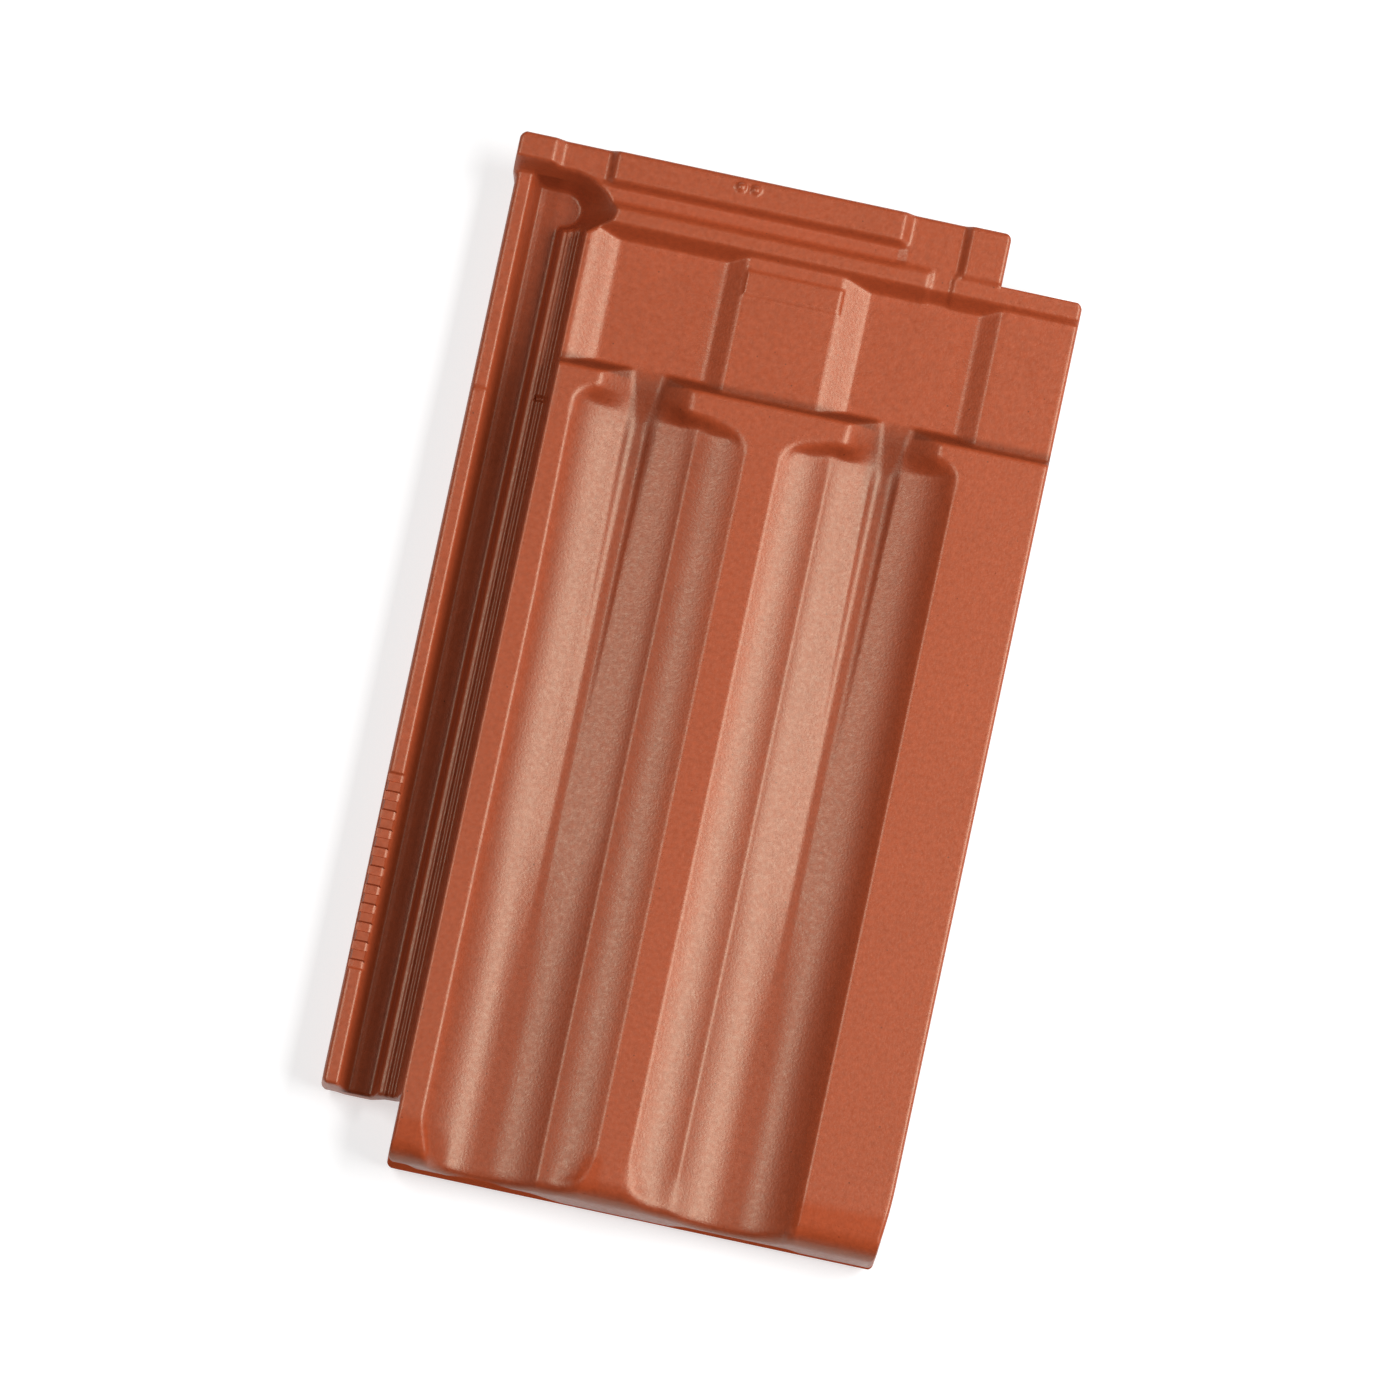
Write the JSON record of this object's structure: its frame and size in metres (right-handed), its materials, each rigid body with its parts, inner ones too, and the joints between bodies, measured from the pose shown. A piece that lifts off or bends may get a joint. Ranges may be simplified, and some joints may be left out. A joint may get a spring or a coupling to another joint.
{
  "type": "interlocking clay roof tile",
  "caption": "Pressed clay roof tile with twin troughs, a central fluted roll, a channelled side lap, a head lock with raised bands, hanging nibs and a drip lip",
  "frame": {"origin": "bottom centre of the bounding box, on the floor the nibs and lip stand on", "axes": "+Y points to the head of the tile, +X to its right-hand cover side, +Z out of the weathered face"},
  "size_m": [0.2625, 0.47, 0.0406],
  "materials": {
    "fired_clay": "satin engobe, brick red"
  },
  "bodies": {
    "root": {"roof_tile": "fired_clay"}
  },
  "joints": []
}
